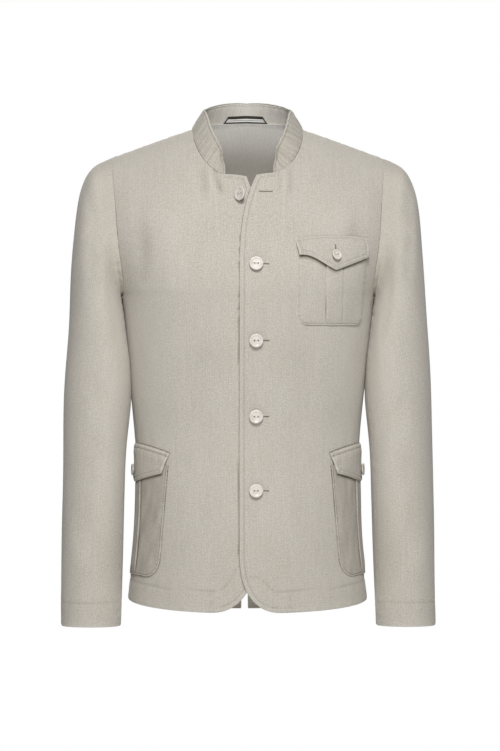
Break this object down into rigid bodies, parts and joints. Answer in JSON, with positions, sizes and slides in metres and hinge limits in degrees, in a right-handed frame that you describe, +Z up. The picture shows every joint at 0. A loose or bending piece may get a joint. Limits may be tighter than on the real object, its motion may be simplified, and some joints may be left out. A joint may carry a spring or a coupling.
{
  "type": "linen jacket",
  "caption": "Stand-collar linen jacket filled out as worn with nobody in it: buttoned front, patch pockets with flaps, set-in sleeves and a centre back vent.",
  "frame": {"origin": "middle of the neck opening, level with the points where the shoulder seams meet the collar, where the wearer's shoulders carry the jacket", "axes": "+Z up, the front faces -Y, +X is the wearer's left"},
  "size_m": [0.5394, 0.2662, 0.7567],
  "materials": {
    "linen": "plain-woven linen, matte",
    "linen_inside": "plain-woven linen, matte, inside",
    "button": "cream, polished rim and dished face",
    "ribbon": "woven ribbon, satin"
  },
  "bodies": {
    "root": {"front_left": "linen", "front_right": "linen", "back_left": "linen", "back_right": "linen", "sleeve_left_upper": "linen", "sleeve_left_under": "linen", "sleeve_right_upper": "linen", "sleeve_right_under": "linen", "collar": "linen", "chest_pocket": "linen", "chest_flap": "linen", "lower_pocket_left": "linen", "lower_pocket_right": "linen", "lower_flap_left": "linen", "lower_flap_right": "linen", "front_button_1": "button", "front_button_2": "button", "front_button_3": "button", "front_button_4": "button", "top_button": "button", "chest_button": "button", "lower_button_left": "button", "lower_button_right": "button", "back_neck_facing": "linen_inside", "hanger_loop": "ribbon"}
  },
  "joints": []
}
